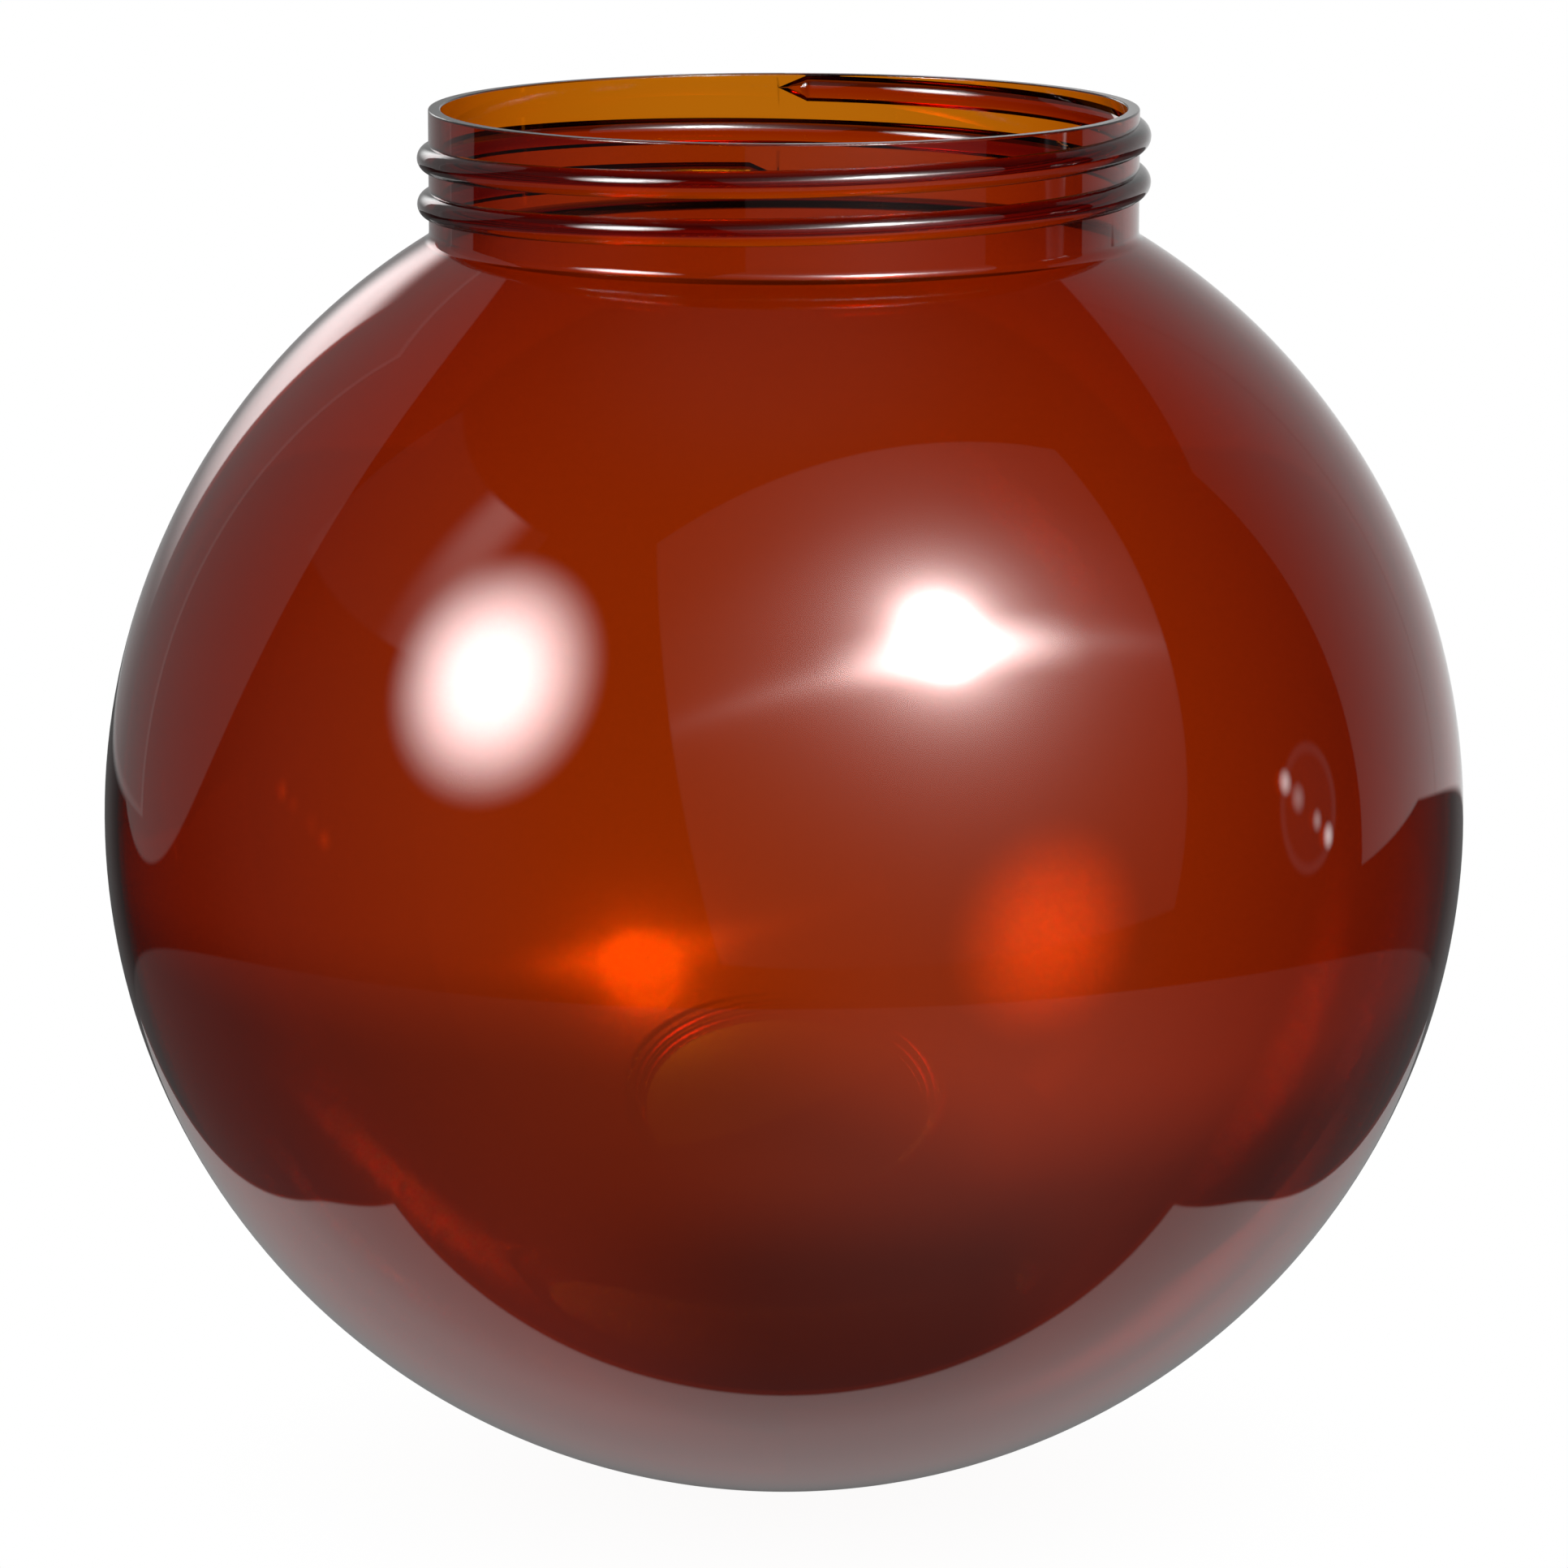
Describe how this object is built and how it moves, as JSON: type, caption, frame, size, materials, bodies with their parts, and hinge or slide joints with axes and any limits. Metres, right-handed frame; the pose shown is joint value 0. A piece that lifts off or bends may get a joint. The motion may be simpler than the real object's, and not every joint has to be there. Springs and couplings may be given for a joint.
{
  "type": "screw-neck lamp globe",
  "caption": "Hollow ball lamp globe in clear amber plastic, with a short open neck that carries a raised right-hand screw thread for a light fitting's collar.",
  "frame": {"origin": "centre of the mouth, in the plane of the rim", "axes": "+Z along the neck and out of the mouth, so the ball is below the origin; +Y towards the side where both ends of the thread lie"},
  "size_m": [0.1524, 0.1524, 0.1557],
  "materials": {
    "amber_acrylic": "clear, tinted through, polished"
  },
  "bodies": {
    "root": {"ball_shell": "amber_acrylic", "neck_collar": "amber_acrylic", "screw_thread": "amber_acrylic"}
  },
  "joints": []
}
